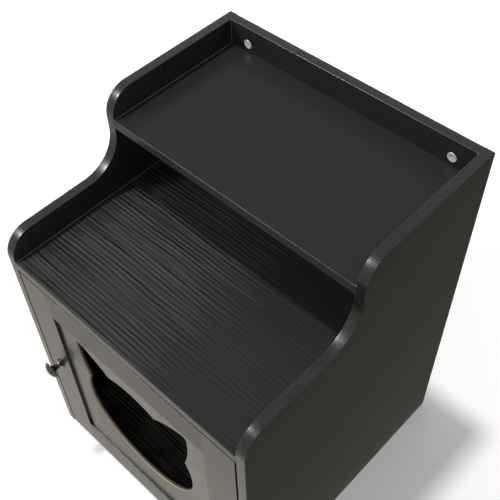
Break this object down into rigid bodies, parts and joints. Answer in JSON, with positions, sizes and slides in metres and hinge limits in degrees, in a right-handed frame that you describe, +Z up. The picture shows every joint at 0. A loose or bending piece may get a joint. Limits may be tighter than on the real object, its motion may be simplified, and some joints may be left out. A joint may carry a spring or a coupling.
{
  "type": "cat litter box cabinet",
  "caption": "Stepped black wood-grain cabinet that hides a cat litter tray: hinged shaker door with a cat-head opening, an open niche and a raised-edge upper shelf.",
  "frame": {"origin": "middle of the footprint, knob included, on the floor under the glides", "axes": "+X to the right seen from the door, +Y from the door to the back, +Z up"},
  "size_m": [0.46, 0.489, 0.633],
  "materials": {
    "black_laminate": "black wood-grain melamine laminate on 15 mm particle board, satin",
    "hardboard": "black-faced thin hardboard, raw brown behind",
    "beech": "plain beech",
    "zinc": "die-cast zinc, dull silver",
    "plated_steel": "nickel-plated or zinc-plated steel",
    "black_plastic": "moulded black plastic",
    "ferrite": "dark ferrite magnet",
    "black_metal": "glossy black paint"
  },
  "bodies": {
    "carcass": {"back_panel": "hardboard", "back_panel_nails": "plated_steel", "back_rail": "black_laminate", "back_rail_cam_bolts": "plated_steel", "back_rail_cam_locks": "zinc", "back_rail_dowels": "beech", "bottom_board": "black_laminate", "bottom_board_cam_bolts": "plated_steel", "bottom_board_cam_locks": "zinc", "bottom_board_dowels": "beech", "catch_case": "black_plastic", "catch_magnet": "ferrite", "catch_pole_plates": "plated_steel", "catch_screws": "plated_steel", "foot_glide_nails": "plated_steel", "foot_glides": "black_plastic", "hinge_arm_lower": "plated_steel", "hinge_arm_screws": "plated_steel", "hinge_arm_upper": "plated_steel", "hinge_plate_lower": "plated_steel", "hinge_plate_screws": "plated_steel", "hinge_plate_upper": "plated_steel", "left_side_panel": "black_laminate", "lower_top": "black_laminate", "lower_top_cam_bolts": "plated_steel", "lower_top_cam_locks": "zinc", "lower_top_dowels": "beech", "right_side_panel": "black_laminate", "upper_shelf": "black_laminate", "upper_shelf_cam_bolts": "plated_steel", "upper_shelf_cam_locks": "zinc", "upper_shelf_dowels": "beech"},
    "door": {"door_panel": "black_laminate", "door_rail_bottom": "black_laminate", "door_rail_top": "black_laminate", "door_stile_left": "black_laminate", "door_stile_right": "black_laminate", "hinge_cup_lower": "plated_steel", "hinge_cup_screws": "plated_steel", "hinge_cup_upper": "plated_steel", "hinge_pin_lower": "plated_steel", "hinge_pin_upper": "plated_steel", "knob": "black_metal", "knob_screw": "plated_steel", "strike_plate": "plated_steel", "strike_screw": "plated_steel"}
  },
  "joints": [
    {"name": "door_hinge", "type": "hinge", "parent": "carcass", "child": "door", "pos_m": [0.201, -0.2115, 0.227], "axis": [0, 0, 1], "range_deg": [0, 105]}
  ]
}
